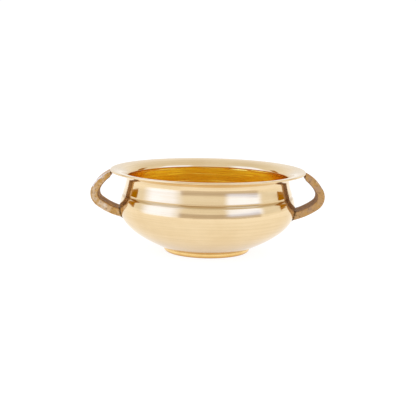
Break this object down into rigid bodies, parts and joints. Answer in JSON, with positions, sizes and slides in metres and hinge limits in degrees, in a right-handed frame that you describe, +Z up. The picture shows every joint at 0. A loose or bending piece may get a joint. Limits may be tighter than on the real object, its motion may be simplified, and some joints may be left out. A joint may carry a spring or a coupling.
{
  "type": "brass urli bowl",
  "caption": "Shallow round brass bowl with a flared rim, one turned line round the shoulder, a low foot ring and fixed strap handles at opposite sides.",
  "frame": {"origin": "middle of the foot ring's underside, in the plane the bowl stands on", "axes": "+Z up; the handles lie on +X and -X; the bowl looks the same from +Y and -Y"},
  "size_m": [0.2128, 0.178, 0.075],
  "materials": {
    "turned_brass": "turned and polished",
    "cast_brass": "cast and filed",
    "braze_filler": "as brazed, dark with flux stain"
  },
  "bodies": {
    "root": {"bowl_shell": "turned_brass", "foot_ring": "turned_brass", "braze_foot": "braze_filler", "handle_left": "cast_brass", "braze_rim_left": "braze_filler", "braze_belly_left": "braze_filler", "handle_right": "cast_brass", "braze_rim_right": "braze_filler", "braze_belly_right": "braze_filler"}
  },
  "joints": []
}
